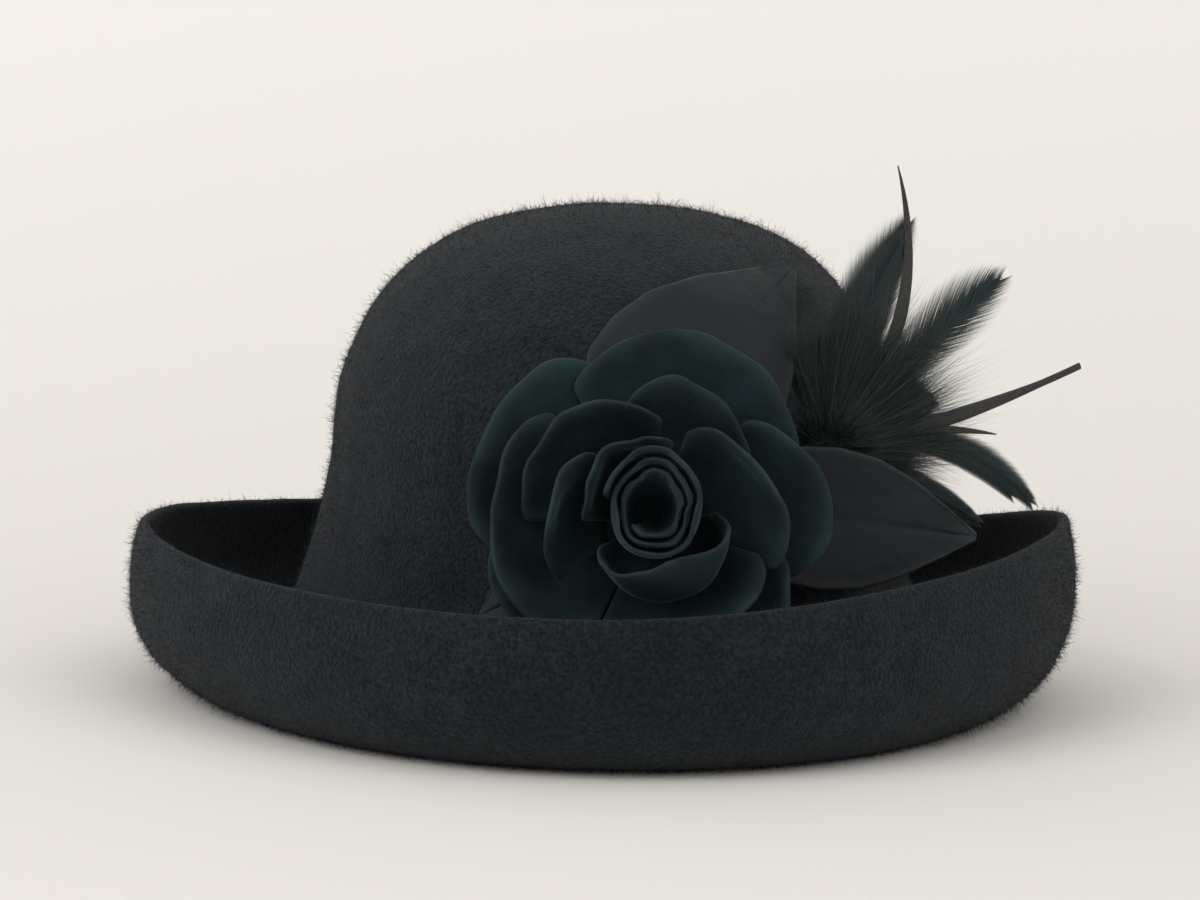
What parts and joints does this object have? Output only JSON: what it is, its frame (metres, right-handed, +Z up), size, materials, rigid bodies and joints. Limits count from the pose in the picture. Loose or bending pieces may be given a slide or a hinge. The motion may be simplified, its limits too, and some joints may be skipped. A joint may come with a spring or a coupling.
{
  "type": "felt cloche hat with a velvet rose and feathers",
  "caption": "Woman's black felt hat with a round crown and a brim rolled up all round, trimmed in front with a velvet rose, cloth leaves and a feather spray.",
  "frame": {"origin": "on the surface that the hat stands on, under the middle of the brim's outline", "axes": "+Z up through the crown, -Y towards the front where the rose is, +X towards the wearer's left where the feathers are"},
  "size_m": [0.28, 0.3086, 0.1548],
  "materials": {
    "felt": "fuzzy wool felt",
    "velvet": "short velvet pile",
    "leaf_cloth": "dull satin cloth",
    "feather": "soft dark feather"
  },
  "bodies": {
    "root": {"felt_body": "felt", "rose_calyx": "velvet", "rose_bud": "velvet", "petal_inner_1": "velvet", "petal_inner_2": "velvet", "petal_inner_3": "velvet", "petal_middle_1": "velvet", "petal_middle_2": "velvet", "petal_middle_3": "velvet", "petal_middle_4": "velvet", "petal_middle_5": "velvet", "petal_outer_1": "velvet", "petal_outer_2": "velvet", "petal_outer_3": "velvet", "petal_outer_4": "velvet", "petal_outer_5": "velvet", "leaf_top": "leaf_cloth", "leaf_right": "leaf_cloth", "leaf_left": "leaf_cloth", "feather_spray": "feather"}
  },
  "joints": []
}
